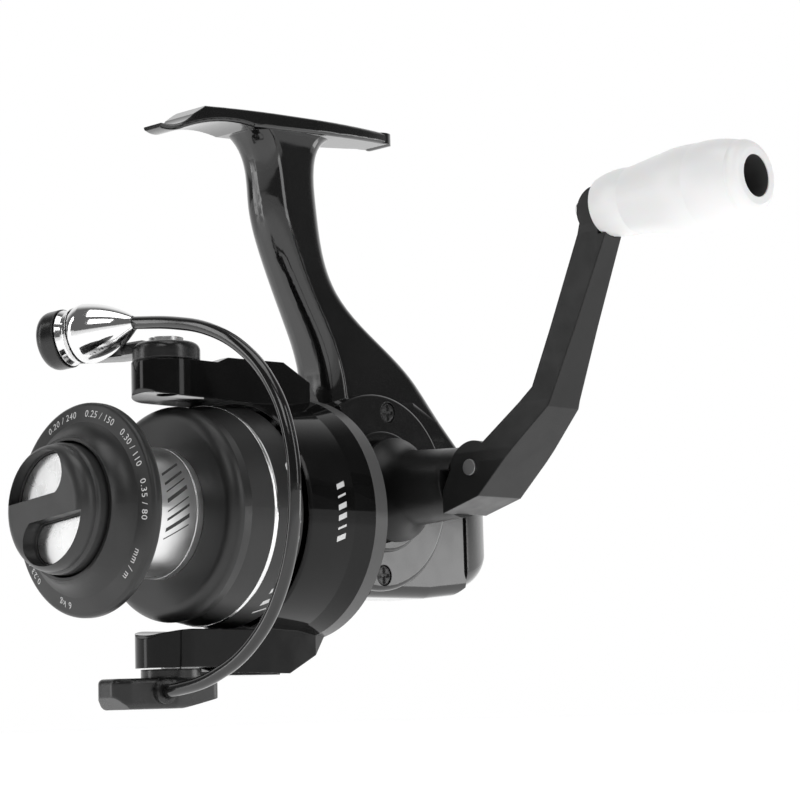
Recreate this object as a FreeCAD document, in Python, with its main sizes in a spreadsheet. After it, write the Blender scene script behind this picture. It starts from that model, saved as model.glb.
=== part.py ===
import FreeCAD, Part
import math
import os
import re

import Sketcher
from FreeCAD import Placement, Rotation, Vector

# Spinning reel. The part's origin is the middle of the flat top of the reel foot.
# +X points forward along the spool, +Y to the handle side, +Z up to the rod.
# Most pieces are drawn in the spool frame: the spool axis is X and X = 0 at the front
# rim of the spool. Pieces of the crank are drawn in the crank frame, whose Y is the
# handle shaft.

SIZES = {
    # where the frames sit
    "rim_x": 68.0, "axis_z": -102.6, "crank_x": -87.5, "crank_z": 7.3, "foot_pitch": 3.06,
    # spool
    "lip_r": 25.0, "arbor_r": 15.2, "sleeve_r": 15.65, "flange_x": -23.2, "skirt_r": 26.7,
    "skirt_end_x": -45.0, "collar_x": 5.5, "collar_r": 16.6, "cavity_r": 13.4, "trim_x": -36.2,
    # shafts and fits
    "shaft_r": 1.9, "fit": 0.05, "pinion_bore_r": 1.95, "journal_r": 4.0, "gear_shaft_r": 3.5,
    # rotor
    "shell_x": -45.6, "shell_r": 28.6, "cup_r": 27.9, "rotor_back_x": -71.6, "rotor_rim_r": 30.4,
    "arm_half": 8.5, "arm_in_z": 28.9, "arm_out_z": 36.6, "bail_x": -26.0, "pivot_r": 2.4,
    # bail
    "wire_x": -18.0, "wire_r": 1.55, "roller_r": 6.9,
    # knob
    "knob_r": 15.2, "knob_face_x": 8.6, "knob_bar_x": 12.2, "pocket_r": 12.8, "bar_half": 3.2,
    # body
    "box_r": 25.3, "box_back_y": -13.0, "box_cover_y": 9.2, "wall": 2.0, "neck_r": 22.0,
    "neck_x": -62.6, "plate_x": -72.0, "plate_back_x": -73.9, "cap_x": -122.0, "cap_end_x": -134.6,
    "boss_r": 15.5, "boss_y": 13.8,
    # foot and stem
    "foot_front_x": -22.7, "foot_back_x": -104.4, "foot_half": 8.0, "foot_top_z": 102.6,
    # crank
    "bell_r": 13.2, "shank_r": 8.7, "pin_y": 49.4, "pin_z": 2.5, "pin_r": 1.5,
    "grip_z": 61.6, "grip_y": 88.0, "grip_end_y": 131.0, "grip_r": 9.9, "grip_hole_r": 4.9,
    # gearing
    "gear_r": 16.6, "pinion_root_r": 2.4, "pinion_tip_r": 3.3,
    "osc_x": -104.0, "osc_pitch_r": 12.03, "stroke": 11.0,
}

PINION_TEETH = 7
GEAR_TEETH = 36
OSC_DRIVER_TEETH = 12
OSC_GEAR_TEETH = 24

doc = FreeCAD.newDocument("SpinningReel")
sheet = doc.addObject("Spreadsheet::Sheet", "Sizes")
for row, (alias, value) in enumerate(SIZES.items(), start=1):
    sheet.set(f"A{row}", alias)
    sheet.set(f"B{row}", str(value))
    sheet.setAlias(f"B{row}", alias)
doc.recompute()

parts = []


def bound(text):
    """The same formula with each size's name led by the sheet's name."""
    return re.sub(r"[a-z][a-z_0-9]*", lambda m: f"Sizes.{m[0]}" if m[0] in SIZES else m[0], str(text))


def val(text):
    """A formula's value in millimetres."""
    return float(sheet.evalExpression(bound(text)))


SPOOL = ("rim_x", "0", "axis_z")
CRANK = ("rim_x + crank_x", "0", "axis_z + crank_z")
PART = ("0", "0", "0")


def place(obj, where, rotation=None):
    obj.Placement = Placement(Vector(*map(val, where)), rotation or Rotation())
    for axis, text in zip("xyz", where):
        obj.setExpression(f"Placement.Base.{axis}", bound(text))


def new_body(label, where=SPOOL, rotation=None):
    body = doc.addObject("PartDesign::Body", label)
    body.Label = label
    place(body, where, rotation)
    parts.append(body)
    return body


def keep_shape(label, shape, where=SPOOL, rotation=None):
    """A piece whose shape is worked out here, from the sheet's sizes."""
    obj = doc.addObject("Part::Feature", label)
    obj.Label = label
    obj.Shape = shape
    place(obj, where, rotation)
    parts.append(obj)
    return obj


def plane(body, role):
    return next(f for f in body.Origin.OriginFeatures if f.Role == role)


def arc_edge(a, b, radius):
    """An arc from a to b. A positive radius turns left on the way, a negative one right."""
    mid = (a + b) * 0.5
    run = b - a
    side = Vector(-run.y, run.x, 0).normalize()
    reach = math.sqrt(max(radius * radius - run.Length ** 2 / 4, 0.0))
    centre = mid + side * (reach if radius > 0 else -reach)
    start, end = (a, b) if radius > 0 else (b, a)
    angles = [math.atan2(p.y - centre.y, p.x - centre.x) for p in (start, end)]
    return Part.ArcOfCircle(Part.Circle(centre, Vector(0, 0, 1), abs(radius)), *angles)


def outline(body, name, role, points, offset=None):
    """A closed sketch. A point's third item is the radius of the arc to the next point."""
    sketch = body.newObject("Sketcher::SketchObject", name)
    sketch.AttachmentSupport = [(plane(body, role), "")]
    sketch.MapMode = "FlatFace"
    if offset is not None:
        sketch.AttachmentOffset = Placement(Vector(0, 0, val(offset)), Rotation())
        sketch.setExpression("AttachmentOffset.Base.z", bound(offset))
    corners = [Vector(val(p[0]), val(p[1]), 0) for p in points]
    ends = []
    for i, point in enumerate(points):
        a, b = corners[i], corners[(i + 1) % len(points)]
        if len(point) > 2:
            sketch.addGeometry(arc_edge(a, b, val(point[2])), False)
            ends.append((1, 2) if val(point[2]) > 0 else (2, 1))
        else:
            sketch.addGeometry(Part.LineSegment(a, b), False)
            ends.append((1, 2))
    for i in range(len(points)):
        after = (i + 1) % len(points)
        sketch.addConstraint(Sketcher.Constraint("Coincident", i, ends[i][1], after, ends[after][0]))
    for i, point in enumerate(points):
        for kind, text in (("DistanceX", point[0]), ("DistanceY", point[1])):
            item = Sketcher.Constraint(kind, -1, 1, i, ends[i][0], val(text))
            row = sketch.addConstraint(item)
            if re.search("[a-z]", text):
                sketch.setExpression(f"Constraints[{row}]", bound(text))
        if len(point) > 2:
            hold_arc(sketch, i, point, points[(i + 1) % len(points)])
    return sketch


def hold_arc(sketch, i, point, after):
    """Fix how far an arc bulges: by its radius or, on a half circle, by its centre."""
    width, height = (val(after[k]) - val(point[k]) for k in (0, 1))
    if abs(math.hypot(width, height) - 2 * abs(val(point[2]))) > 0.001:
        sketch.addConstraint(Sketcher.Constraint("Radius", i, abs(val(point[2]))))
        return
    kind, k = ("DistanceY", 1) if abs(width) > abs(height) else ("DistanceX", 0)
    text = f"({point[k]} + {after[k]}) / 2"
    row = sketch.addConstraint(Sketcher.Constraint(kind, -1, 1, i, 3, val(text)))
    sketch.setExpression(f"Constraints[{row}]", bound(text))


def revolve(body, points, axis="H_Axis", kind="Revolution", role="XY_Plane"):
    """Turn a closed outline about X (H_Axis) or Y (V_Axis)."""
    sketch = outline(body, f"{body.Name}_{kind}_{len(body.Group)}", role, points)
    feature = body.newObject(f"PartDesign::{kind}", f"{body.Name}_turn_{len(body.Group)}")
    feature.Profile = sketch
    feature.ReferenceAxis = (sketch, [axis])
    feature.Angle = 360.0
    body.Tip = feature
    return feature


def turned(label, points, axis="H_Axis", where=SPOOL, rotation=None):
    body = new_body(label, where, rotation)
    revolve(body, points, axis)
    return body


def tube(label, start, end, bore, radius, axis="H_Axis", where=SPOOL):
    """A plain ring or sleeve: along X from start to end, or along Y."""
    if axis == "H_Axis":
        points = [(start, bore), (end, bore), (end, radius), (start, radius)]
    else:
        points = [(bore, start), (radius, start), (radius, end), (bore, end)]
    return turned(label, points, axis, where)


def pad(body, role, points, length, symmetric=False, offset=None, cut=False, reverse=False):
    kind = "Pocket" if cut else "Pad"
    sketch = outline(body, f"{body.Name}_{kind}_{len(body.Group)}", role, points, offset)
    feature = body.newObject(f"PartDesign::{kind}", f"{body.Name}_{kind}_f{len(body.Group)}")
    feature.Profile = sketch
    if symmetric:
        feature.Midplane = True
    feature.Reversed = reverse
    feature.Length = val(length)
    feature.setExpression("Length", bound(length))
    body.Tip = feature
    doc.recompute()
    return feature


def cylinder(radius, start, end, axis="x", at=(0, 0)):
    """A plain cylinder along x, y or z between two places, offset by at on the other two."""
    u, v = at
    base, way = {
        "x": (Vector(start, u, v), Vector(1, 0, 0)),
        "y": (Vector(u, start, v), Vector(0, 1, 0)),
        "z": (Vector(u, v, start), Vector(0, 0, 1)),
    }[axis]
    return Part.makeCylinder(radius, end - start, base, way)


def block(x0, x1, y0, y1, z0, z1):
    return Part.makeBox(x1 - x0, y1 - y0, z1 - z0, Vector(x0, y0, z0))


def rounded_section(x0, x1, half, z, radius):
    """A level rectangle with round corners, as a closed wire."""
    r = min(radius, half * 0.95, (x1 - x0) / 2.1)
    k = r * (1 - math.sqrt(0.5))
    corners = [(x1, half), (x0, half), (x0, -half), (x1, -half)]
    edges = []
    ring = []
    for (cx, cy) in corners:
        sx = 1 if cx == x1 else -1
        sy = 1 if cy > 0 else -1
        on_x = Vector(cx - sx * r, cy, z)
        on_y = Vector(cx, cy - sy * r, z)
        mid = Vector(cx - sx * k, cy - sy * k, z)
        ring.append((on_y, mid, on_x) if sx * sy > 0 else (on_x, mid, on_y))
    for i, (a, m, b) in enumerate(ring):
        edges.append(Part.Arc(a, m, b).toShape())
        edges.append(Part.LineSegment(b, ring[(i + 1) % 4][0]).toShape())
    return Part.Wire(edges)


def rounded_route(points, share=0.45):
    """Straight runs joined by tangent arcs, each as large as its two runs allow."""
    edges = []
    at = points[0]
    for before, here, after in zip(points, points[1:], points[2:]):
        a = (before - here).normalize()
        b = (after - here).normalize()
        reach = share * min((before - here).Length, (after - here).Length)
        half = a.getAngle(b) / 2
        radius = reach * math.tan(half)
        start, end = here + a * reach, here + b * reach
        inward = (a + b).normalize()
        mid = here + inward * (radius / math.sin(half) - radius)
        edges.append(Part.LineSegment(at, start).toShape())
        edges.append(Part.Arc(start, mid, end).toShape())
        at = end
    edges.append(Part.LineSegment(at, points[-1]).toShape())
    return Part.Wire(edges)


def swept_round(route, radius):
    """A round wire along a route."""
    first = route.Edges[0]
    way = first.tangentAt(first.FirstParameter)
    ring = Part.Wire([Part.Circle(first.valueAt(first.FirstParameter), way, radius).toShape()])
    return route.makePipeShell([ring], True, True)


# ---------------------------------------------------------------- spool

def make_spool():
    body = new_body("spool")
    revolve(body, [
        ("-9", "shaft_r + 1.2"), ("-9", "cavity_r"), ("-1", "cavity_r"), ("-1", "knob_r + 0.6"),
        ("collar_x", "knob_r + 0.6"), ("collar_x", "collar_r", "-6.2"), ("1.0", "20.4"),
        ("0.3", "24.0", "1.1"), ("-0.9", "lip_r"), ("-1.7", "lip_r", "1.1"), ("-2.8", "24.0", "-16"),
        ("-7.0", "arbor_r"), ("flange_x", "arbor_r"), ("flange_x - 0.4", "22.4", "3.6"),
        ("-26.8", "25.9"), ("-29.4", "25.6"), ("trim_x + 0.65", "skirt_r - 0.05"),
        ("trim_x + 0.65", "skirt_r - 0.4"), ("trim_x - 0.65", "skirt_r - 0.4"),
        ("trim_x - 0.65", "skirt_r + 0.05"), ("skirt_end_x + 0.5", "skirt_r + 0.5"),
        ("skirt_end_x", "skirt_r"), ("skirt_end_x", "skirt_r - 1.1"), ("-28.4", "24.4"),
        ("-26", "22.4"), ("-26", "cavity_r"), ("-12", "cavity_r"), ("-12", "5.2"),
        ("-24", "5.2"), ("-24", "shaft_r + 1.2"),
    ])
    return body


def make_spool_parts():
    turned("arbor_sleeve", [
        ("-7.5", "arbor_r + 0.02"), ("-7.5", "sleeve_r"), ("-21.0", "sleeve_r"),
        ("-21.0", "sleeve_r - 0.2"), ("-21.3", "sleeve_r - 0.2"), ("-21.3", "sleeve_r"),
        ("flange_x + 0.05", "sleeve_r"), ("flange_x + 0.05", "arbor_r + 0.02"),
    ])
    turned("skirt_trim_ring", [
        ("trim_x + 0.6", "skirt_r - 0.38"), ("trim_x + 0.6", "skirt_r + 0.05"),
        ("trim_x", "skirt_r + 0.2"), ("trim_x - 0.6", "skirt_r + 0.05"),
        ("trim_x - 0.6", "skirt_r - 0.38"),
    ])
    tube("spool_bushing", "-24", "-9", "shaft_r + fit", "shaft_r + 1.18")
    tube("spool_click_ratchet", "-22", "-20.2", "5.24", "9.5")
    clip = new_body("line_clip")
    pad(clip, "XZ_Plane", [("-33.4", "-2.2"), ("-30.4", "-2.2"), ("-30.4", "2.2"), ("-33.4", "2.2")],
        "1.1", offset="26.5")
    friction = [(-8.9, -7.9), (-6.7, -5.7)]
    steel = [(-7.8, -6.8), (-5.6, -4.6)]
    for label, stack, bore, radius in (
        ("drag_felt_washers", friction, val("shaft_r + 1.4"), val("cavity_r - 0.4")),
        ("drag_metal_washers", steel, val("shaft_r + 1.4"), val("cavity_r - 0.25")),
    ):
        rings = [cylinder(radius, a, b).cut(cylinder(bore, a - 1, b + 1)) for a, b in stack]
        keep_shape(label, Part.makeCompound(rings))
    ring = cylinder(val("cavity_r - 0.1"), -4.4, -3.6).cut(cylinder(val("cavity_r - 1.5"), -5, -3))
    keep_shape("drag_retaining_ring", ring.cut(block(-6, 0, 9, 20, -2.2, 2.2)))


# ---------------------------------------------------------------- drag knob

BAR_TURN = Rotation(Vector(1, 0, 0), 6)


def knob_pocket(grow, depth_from, depth_to):
    """The two half-moon recesses beside the knob's bar, as a pair of solids."""
    radius = val("pocket_r") + grow
    chord = val("bar_half") - grow
    round_r = 3.0 + grow
    left = Vector(0, -math.sqrt(radius ** 2 - chord ** 2), chord)
    angle = math.radians(66)
    top = Vector(0, radius * math.cos(angle), radius * math.sin(angle))
    over = math.radians(112)
    crown = Vector(0, radius * math.cos(over), radius * math.sin(over))
    foot = Vector(0, 4.4 + grow, chord)
    bulge = Vector(0, 4.4 + round_r, chord + 0.42 * (top.z - chord))
    wire = Part.Wire([
        Part.Arc(left, crown, top).toShape(),
        Part.Arc(top, bulge, foot).toShape(),
        Part.LineSegment(foot, left).toShape(),
    ])
    moon = Part.Face(wire).extrude(Vector(depth_to - depth_from, 0, 0))
    moon.translate(Vector(depth_from, 0, 0))
    other = moon.copy()
    other.rotate(Vector(), Vector(1, 0, 0), 180)
    return [moon, other]


def make_knob():
    """The drag knob: a disc with a gripping bar between two recessed plates."""
    face, bar, radius = val("knob_face_x"), val("knob_bar_x"), val("knob_r")
    disc = cylinder(radius, 1.0, face)
    rim = [e for e in disc.Edges if abs(e.BoundBox.XMax - face) < 0.01 and len(e.Vertexes) == 1]
    disc = disc.makeFillet(1.2, rim)
    blade = cylinder(radius - 0.5, face - 2, bar)
    edge = [e for e in blade.Edges if abs(e.BoundBox.XMin - bar) < 0.01 and len(e.Vertexes) == 1]
    blade = blade.makeFillet(3.2, edge)
    for moon in knob_pocket(0.5, face - 1.0, bar + 2):
        blade = blade.cut(moon)
    knob = disc.fuse(blade).removeSplitter()
    for moon in knob_pocket(0.12, face - 1.3, bar + 2):
        knob = knob.cut(moon)
    knob = knob.cut(cylinder(8.0, 0, 5.6))
    keep_shape("drag_knob", knob, SPOOL, BAR_TURN)
    plates = [m for m in knob_pocket(-0.05, face - 1.25, face - 0.35)]
    keep_shape("knob_plates", Part.makeCompound(plates), SPOOL, BAR_TURN)
    corners = [Vector(1.6, 4.6 * math.cos(math.radians(a)), 4.6 * math.sin(math.radians(a)))
               for a in range(0, 420, 60)]
    nut = Part.Face(Part.makePolygon(corners)).extrude(Vector(3.6, 0, 0))
    keep_shape("knob_nut", nut.cut(cylinder(val("shaft_r + fit"), 0, 8)))
    tube("knob_spring_cup", "-3.4", "0.6", "5.4", "6.6")
    coil = Part.makeHelix(1.3, 3.9, 5.9)
    ring = Part.Wire([Part.Circle(Vector(5.9, 0, 0), Vector(0, 1, 0.05), 0.42).toShape()])
    spring = coil.makePipeShell([ring], True, True)
    keep_shape("knob_spring", spring, ("rim_x + 1.1", "0", "axis_z"), Rotation(Vector(0, 1, 0), 90))


# ---------------------------------------------------------------- rotor

def make_rotor():
    body = new_body("rotor")
    revolve(body, [
        ("shell_x", "0"), ("shell_x", "shell_r - 0.6"), ("shell_x - 0.6", "shell_r"),
        ("-60", "shell_r + 0.7"), ("-66", "rotor_rim_r"), ("-70.2", "rotor_rim_r"),
        ("rotor_back_x", "rotor_rim_r - 1.8"), ("rotor_back_x", "0"),
    ])
    half = "2 * arm_half"
    # Both arms end in a bevel above and below.
    upper = [("-18.6", "24"), ("-18.6", "arm_in_z"), ("-15.4", "arm_in_z + 2.4"),
             ("-15.4", "arm_out_z - 2.2"), ("-17.4", "arm_out_z"), ("-35", "arm_out_z"),
             ("-38.4", "arm_out_z + 1.4"), ("-57", "arm_out_z + 1.8"), ("-66", "34"), ("-69", "29.4"),
             ("-69", "24")]
    lower = [(x, f"-({z})") for x, z in reversed(upper)]
    pad(body, "XZ_Plane", upper, half, symmetric=True)
    pad(body, "XZ_Plane", lower, half, symmetric=True)
    doc.recompute()
    revolve(body, [
        ("-10", "0"), ("-10", "arm_in_z"), ("shell_x", "arm_in_z"), ("shell_x", "cup_r"), ("-58", "cup_r"),
        ("-58", "22.2"), ("-47", "22.2"), ("-47", "20"), ("-58", "20"), ("-58", "8"), ("-56", "8"),
        ("-56", "0"),
    ], kind="Groove")
    revolve(body, [
        ("-63", "0"), ("-63", "8"), ("-61", "8"), ("-61", "26"), ("-74", "27.6"), ("-74", "0"),
    ], kind="Groove")
    revolve(body, [("-74", "0"), ("-74", "3.55"), ("-50", "3.55"), ("-50", "0")], kind="Groove")
    # Seen from above, both arms end in half circles about the bail's pivots.
    pad(body, "XY_Plane", [
        ("bail_x", "arm_half + 1"), ("bail_x", "arm_half", "-arm_half"), ("bail_x", "-arm_half"),
        ("bail_x", "-arm_half - 1"), ("-8", "-arm_half - 1"), ("-8", "arm_half + 1"),
    ], "100", symmetric=True, cut=True)
    # The back of the upper arm slopes away, so that the line roller passes over it.
    pad(body, "YZ_Plane", [("-12", "33.2"), ("12", "39.6"), ("12", "46"), ("-12", "46")], "40",
        offset="-36", cut=True, reverse=False)
    # The room for the bail spring, closed by a cover on the outside of the lower arm.
    room = [("-57", "-5"), ("-57", "5"), ("-37.6", "5"), ("-37.6", "-5")]
    pad(body, "XY_Plane", room, "12", offset="-32.2", cut=True)
    # The bail's two pivot screws.
    ring = [("bail_x - pivot_r - fit", "0", "pivot_r + fit"), ("bail_x + pivot_r + fit", "0", "pivot_r + fit")]
    for z in ("25", "-45"):
        pad(body, "XY_Plane", ring, "20", offset=z, cut=True, reverse=True)
    doc.recompute()
    return body


def make_rotor_parts():
    body = new_body("rotor_nut")
    corners = [(f"{6.0 * math.cos(math.radians(a)):.4f}", f"{6.0 * math.sin(math.radians(a)):.4f}")
               for a in range(0, 360, 60)]
    pad(body, "YZ_Plane", corners, "3.4", offset="-55.9")
    revolve(body, [("-60", "0"), ("-60", "3.55"), ("-50", "3.55"), ("-50", "0")], kind="Groove")
    screws = []
    for sign in (1, -1):
        shank = cylinder(val("pivot_r"), sign * 30 if sign > 0 else -41, 41 if sign > 0 else -30, "z",
                         (val("bail_x"), 0))
        head = cylinder(4.2, 41 if sign > 0 else -42.6, 42.6 if sign > 0 else -41, "z", (val("bail_x"), 0))
        slot = block(val("bail_x") - 5, val("bail_x") + 5, -0.5, 0.5, *sorted((sign * 41.9, sign * 43)))
        screws.append(shank.fuse(head).cut(slot))
    keep_shape("bail_pivot_screws", Part.makeCompound(screws))
    cover = new_body("arm_cover")
    pad(cover, "XY_Plane", [("-56.95", "-4.95"), ("-56.95", "4.95"), ("-39", "4.95"), ("-39", "-4.95")],
        "1.6", offset="-38.6")
    keep_shape("bail_spring_rod", cylinder(0.8, -56, -40, "x", (0, -34.6)))
    coil = Part.makeHelix(1.3, 9.1, 2.0)
    ring = Part.Wire([Part.Circle(Vector(2.0, 0, 0), Vector(0, 1, 0.1), 0.35).toShape()])
    spring = coil.makePipeShell([ring], True, True)
    keep_shape("bail_spring", spring, ("rim_x - 54", "0", "axis_z - 34.6"), Rotation(Vector(0, 1, 0), 90))
    weight = [("-61.02", "-25.2"), ("-61.02", "-22.5"), ("-66", "-22.5"), ("-66", "-25.2")]
    balance = new_body("balance_weight")
    pad(balance, "XZ_Plane", weight, "10", symmetric=True)


def make_pinion():
    """The pinion: a hollow journal that carries the rotor, with seven long teeth behind."""
    root_r, tip_r, bore = val("pinion_root_r"), val("pinion_tip_r"), val("pinion_bore_r")
    blank = cylinder(3.5, -63.6, -51.5)
    blank = blank.fuse(cylinder(val("journal_r"), -69.6, -63.6))
    blank = blank.fuse(cylinder(root_r, -83.6, -69.6))
    for k in range(PINION_TEETH):
        tooth = block(-78.6, -69.6, 0, tip_r, -0.4, 0.4)
        tooth.rotate(Vector(), Vector(1, 0, 0), k * 360 / PINION_TEETH)
        blank = blank.fuse(tooth)
    blank = blank.cut(cylinder(bore, -90, -40))
    keep_shape("pinion_gear", blank.removeSplitter())


# ---------------------------------------------------------------- bail

CAP = Vector(-10.5, -21.0, 43.4)
TIP = Vector(-17.5, -1.5, 45.8)
ROLLER_WAY = (TIP - CAP).normalize()
ROLLER_TURN = Rotation(Vector(0, 1, 0), ROLLER_WAY)
ROLLER = (f"rim_x + ({CAP.x})", f"{CAP.y}", f"axis_z + {CAP.z}")


def make_bail():
    pivot = Vector(val("bail_x"), 0, 0)
    bore = val("pivot_r + fit")
    # The upper arm: a disc on the pivot and a lever that rises to the roller's cap.
    disc = cylinder(8.2, 36.9, 41.4, "z", (pivot.x, 0))
    disc = disc.makeFillet(2.0, [e for e in disc.Edges if abs(e.BoundBox.ZMin - 41.4) < 0.01])
    path = [Vector(pivot.x - 4.8, -3, 0), Vector(-26.4, -17, 0), Vector(-19.6, -25.6, 0),
            Vector(-12.6, -27.8, 0), Vector(-9.4, -22.4, 0), Vector(-15.8, -19.8, 0),
            Vector(-18.6, -13.4, 0), Vector(pivot.x + 6.6, -1.2, 0)]
    lever = Part.Face(Part.makePolygon(path + path[:1])).extrude(Vector(0, 0, 3.0))
    lever.translate(Vector(0, 0, 38.9))
    lever = lever.makeChamfer(0.7, [e for e in lever.Edges if e.BoundBox.ZMin > 41.8])
    cap = Part.makeCylinder(7.2, 5.6, CAP - ROLLER_WAY * 3.6, ROLLER_WAY)
    far = CAP - ROLLER_WAY * 3.6
    edge = [e for e in cap.Edges if len(e.Vertexes) == 1 and (e.CenterOfMass - far).Length < 0.1]
    cap = cap.makeFillet(2.6, edge)
    arm = disc.fuse(lever).fuse(cap)
    arm = arm.cut(cylinder(bore, 30, 50, "z", (pivot.x, 0)))
    arm = arm.cut(cylinder(4.4, 40.9, 50, "z", (pivot.x, 0)))
    # Room for the line roller, and behind it for the cone that carries the wire.
    arm = arm.cut(Part.makeCylinder(8.3, 3.8, CAP + ROLLER_WAY * 2.0, ROLLER_WAY))
    arm = arm.cut(Part.makeCylinder(7.5, 8.3, CAP + ROLLER_WAY * 5.7, ROLLER_WAY))
    keep_shape("bail_arm", arm.removeSplitter())
    # The lower lever, with the socket that the wire is fixed in.
    slab = [Vector(-40.4, 0.4, 0), Vector(-37.6, -5.6, 0), Vector(-24, -8.2, 0), Vector(-10.4, -6.8, 0),
            Vector(-6.8, -4.2, 0), Vector(-6.8, 2.0, 0), Vector(-10.2, 4.0, 0), Vector(-21, 7.6, 0),
            Vector(-34, 7.4, 0)]
    low = Part.Face(Part.makePolygon(slab + slab[:1])).extrude(Vector(0, 0, 7.2))
    low.translate(Vector(0, 0, -46.2))
    upright = [e for e in low.Edges if e.BoundBox.ZLength > 7]
    low = low.makeFillet(2.4, upright)
    level = [e for e in low.Edges if e.BoundBox.ZLength < 0.01]
    low = low.makeFillet(1.2, level)
    # The front end is bevelled below, and the underside rises towards the back.
    for side in ([(-6.0, -47), (-11.4, -47), (-6.0, -42.6)], [(-22.4, -46.4), (-42, -46.4), (-42, -42.4)]):
        wedge = Part.makePolygon([Vector(x, -12, z) for x, z in side + side[:1]])
        low = low.cut(Part.Face(wedge).extrude(Vector(0, 24, 0)))
    low = low.fuse(cylinder(7.2, -39.2, -36.9, "z", (pivot.x, 0)))
    socket = cylinder(2.9, -2, 7.8, "y", (val("wire_x"), -42.2))
    low = low.fuse(socket).removeSplitter()
    low = low.cut(cylinder(bore, -50, -30, "z", (pivot.x, 0)))
    low = low.cut(cylinder(4.4, -50, -40.9, "z", (pivot.x, 0)))
    low = low.cut(cylinder(val("wire_r") + 0.02, 1.5, 9, "y", (val("wire_x"), -42.2)))
    keep_shape("bail_lever", low)


def make_bail_wire():
    x = val("wire_x")
    start = TIP + ROLLER_WAY * 0.1
    loop = [(9.5, 44.6), (21.5, 42.2), (32.0, 37.8), (41.5, 30.6), (48.4, 20.6), (51.7, 8.4), (51.6, -4.4),
            (48.8, -16.4), (42.6, -27.4), (33.0, -35.6), (20.5, -40.6), (8.5, -42.2)]
    route = [start] + [Vector(x, y, z) for y, z in loop] + [Vector(x, 2.0, -42.2)]
    keep_shape("bail_wire", swept_round(rounded_route(route), val("wire_r")))


def make_roller():
    turned("line_roller", [
        ("2.06", "2.4"), ("5.6", "2.4"), ("roller_r", "2.4"), ("roller_r - 0.7", "3.6"),
        ("roller_r - 0.7", "4.2"), ("roller_r", "5.4"), ("5.6", "5.4"), ("2.06", "5.4"),
    ], "V_Axis", ROLLER, ROLLER_TURN)
    turned("roller_cone", [
        ("0", "5.7"), ("6.7", "5.7", "6"), ("7.3", "8.2", "26"), ("1.75", "20.7"), ("0", "20.7"),
    ], "V_Axis", ROLLER, ROLLER_TURN)
    turned("roller_pin", [("0", "2.05"), ("2", "2.05"), ("2", "5.65"), ("0", "5.65")],
           "V_Axis", ROLLER, ROLLER_TURN)


# ---------------------------------------------------------------- body, stem and foot

def stem_shape():
    """The stem, lofted through level sections from the gearbox up to the foot."""
    rows = [(22, -76, -121, 9.0), (30, -75.8, -114.5, 8.6), (38.4, -75, -107, 8.0), (51, -69.6, -89.5, 7.2),
            (58.3, -65.6, -81.6, 6.8), (69, -60.5, -76.6, 6.6), (80, -57.2, -74.8, 6.6),
            (91, -55.6, -74.6, 6.4), (95.5, -53.4, -75.8, 6.7), (98.6, -49.6, -79.0, 7.2)]
    wires = [rounded_section(back, front, half, z, 5.4) for z, front, back, half in rows]
    return Part.makeLoft(wires, True, False)


def foot_shape():
    """The foot plate: a side profile limited by its outline from above."""
    front, back, half = val("foot_front_x"), val("foot_back_x"), val("foot_half")
    # The flat top leans forward a little and passes through the part's origin.
    slope = math.tan(math.radians(val("foot_pitch")))
    nose_x, tail_x = -35.4, back + 2
    nose_z, tail_z = (val("foot_top_z") - slope * (x + val("rim_x")) for x in (nose_x, tail_x))
    top = [Vector(front, 0, 94.9), Vector(-27.6, 0, 95.4), Vector(-31.4, 0, 98.2), Vector(nose_x, 0, nose_z)]
    curl = Part.Arc(*top[:3]).toShape()
    rise = Part.LineSegment(*top[2:]).toShape()
    tail = Vector(tail_x, 0, tail_z)
    side = [
        curl,
        rise,
        Part.LineSegment(top[-1], tail).toShape(),
        Part.Arc(tail, Vector(back, 0, 102.9), Vector(back + 2.6, 0, 101.5)).toShape(),
        Part.LineSegment(Vector(back + 2.6, 0, 101.5), Vector(-80, 0, 99.6)).toShape(),
        Part.LineSegment(Vector(-80, 0, 99.6), Vector(-50, 0, 97.4)).toShape(),
        Part.Arc(Vector(-50, 0, 97.4), Vector(-37, 0, 97.0), Vector(-29.4, 0, 94.6)).toShape(),
        Part.Arc(Vector(-29.4, 0, 94.6), Vector(-26, 0, 93.6), Vector(front, 0, 93.9)).toShape(),
        Part.LineSegment(Vector(front, 0, 93.9), top[0]).toShape(),
    ]
    plate = Part.Face(Part.Wire(side)).extrude(Vector(0, 2 * half, 0))
    plate.translate(Vector(0, -half, 0))
    plan = Part.Wire([
        Part.Arc(Vector(front, -3.2, 0), Vector(front + 0.8, 0, 0), Vector(front, 3.2, 0)).toShape(),
        Part.Arc(Vector(front, 3.2, 0), Vector(-42, 6.9, 0), Vector(-64, half, 0)).toShape(),
        Part.Arc(Vector(-64, half, 0), Vector(-84, 7.2, 0), Vector(back + 4, 4.6, 0)).toShape(),
        Part.Arc(Vector(back + 4, 4.6, 0), Vector(back - 0.6, 0, 0), Vector(back + 4, -4.6, 0)).toShape(),
        Part.Arc(Vector(back + 4, -4.6, 0), Vector(-84, -7.2, 0), Vector(-64, -half, 0)).toShape(),
        Part.Arc(Vector(-64, -half, 0), Vector(-42, -6.9, 0), Vector(front, -3.2, 0)).toShape(),
    ])
    blank = Part.Face(plan).extrude(Vector(0, 0, 30))
    blank.translate(Vector(0, 0, 85))
    plate = plate.common(blank)
    sides = [e for e in plate.Edges if e.BoundBox.XLength > 20]
    return plate.makeFillet(0.9, sides)


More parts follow.
